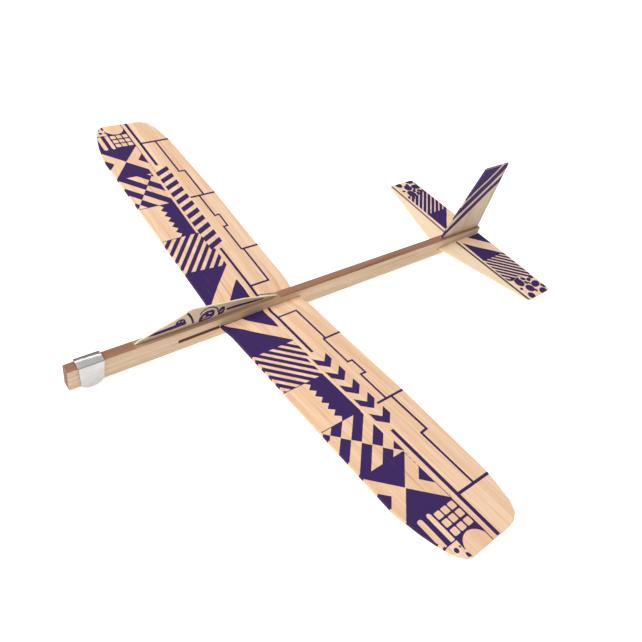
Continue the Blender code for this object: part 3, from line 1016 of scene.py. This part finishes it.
def build_stage():
    """Pale floor just under the glider, surround and lights."""
    lowest = cad_box[0][2]
    bpy.ops.mesh.primitive_plane_add(size=8.0, location=(0.0, 0.0, lowest - 0.2 * MM))
    floor = bpy.context.active_object
    floor.name = "floor"
    paper = bpy.data.materials.new("pale_paper")
    paper.use_nodes = True
    shader = paper.node_tree.nodes["Principled BSDF"]
    shader.inputs["Base Color"].default_value = (0.92, 0.92, 0.92, 1.0)
    shader.inputs["Roughness"].default_value = 0.9
    shader.inputs["Emission Color"].default_value = (1.0, 1.0, 1.0, 1.0)
    shader.inputs["Emission Strength"].default_value = 0.60
    floor.data.materials.append(paper)

    build_sky()
    round_light("key", (-0.25, -0.55, 0.80), 0.9, 4.7)
    strip_light("strip", (-0.535, 0.19, 0.54), 0.04, 0.80, 0.50)


def build_sky():
    """Studio surround: dimmer near the horizon, brighter overhead."""
    world = bpy.data.worlds.new("studio")
    world.use_nodes = True
    tree = world.node_tree
    place = tree.nodes.new("ShaderNodeTexCoord")
    split = tree.nodes.new("ShaderNodeSeparateXYZ")
    climb = tree.nodes.new("ShaderNodeMapRange")
    climb.interpolation_type = "SMOOTHSTEP"
    climb.inputs["From Min"].default_value = 0.60
    climb.inputs["From Max"].default_value = 0.70
    climb.inputs["To Min"].default_value = 0.36
    climb.inputs["To Max"].default_value = 0.84
    tree.links.new(place.outputs["Generated"], split.inputs[0])
    tree.links.new(split.outputs["Z"], climb.inputs["Value"])
    tree.links.new(climb.outputs["Result"], tree.nodes["Background"].inputs["Strength"])
    tree.nodes["Background"].inputs["Color"].default_value = (1.0, 0.99, 0.98, 1.0)
    bpy.context.scene.world = world


def round_light(name, place, size, power):
    """Disc light aimed at the glider."""
    data = bpy.data.lights.new(name, "AREA")
    data.shape = "DISK"
    data.size = size
    data.energy = power
    light = bpy.data.objects.new(name, data)
    light.location = place
    light.rotation_euler = (Vector((0.0, 0.05, 0.0)) - Vector(place)).to_track_quat("-Z", "Y").to_euler()
    bpy.context.scene.collection.objects.link(light)


def strip_light(name, place, wide, long, power):
    """Strip light aimed at the glider, its long side level with the fuselage."""
    data = bpy.data.lights.new(name, "AREA")
    data.shape = "RECTANGLE"
    data.size = wide
    data.size_y = long
    data.energy = power
    light = bpy.data.objects.new(name, data)
    back = Vector(place).normalized()
    length_way = (Vector((0.0, 1.0, 0.0)) - back * back.y).normalized()
    turn = Matrix((length_way.cross(back), length_way, back)).transposed().to_4x4()
    light.matrix_world = Matrix.Translation(place) @ turn
    bpy.context.scene.collection.objects.link(light)


def build_camera():
    """View from ahead, to the left and above, rolled so that the nose points to the lower left."""
    azimuth, elevation, roll = math.radians(39.89), math.radians(43.00), math.radians(17.39)
    distance, aside, above = 284.25 * MM, 50.54 * MM, 5.10 * MM
    back = Vector((math.sin(azimuth) * math.cos(elevation), -math.cos(azimuth) * math.cos(elevation),
                   math.sin(elevation)))
    level = Vector((math.cos(azimuth), math.sin(azimuth), 0.0))
    upright_way = back.cross(level)
    right = level * math.cos(roll) + upright_way * math.sin(roll)
    up = upright_way * math.cos(roll) - level * math.sin(roll)
    data = bpy.data.cameras.new("camera")
    data.sensor_width = 36.0
    data.lens = 32.29
    data.clip_start = 0.005
    camera = bpy.data.objects.new("camera", data)
    turn = Matrix((right, up, back)).transposed().to_4x4()
    camera.matrix_world = Matrix.Translation(right * aside + up * above + back * distance) @ turn
    bpy.context.scene.collection.objects.link(camera)
    bpy.context.scene.camera = camera


def main():
    ink = printed("purple_ink_spanwise", INK_DARK, INK_RED, "X")
    upright_ink = printed("purple_ink_upright", INK_DARK, INK_RED, "Y")
    build_fuselage()
    build_wing(ink)
    build_tailplane(ink)
    build_fin(upright_ink)
    build_canopy(upright_ink)
    build_nose_weight()
    build_stage()
    build_camera()
    bpy.context.scene.view_settings.view_transform = "Standard"


main()
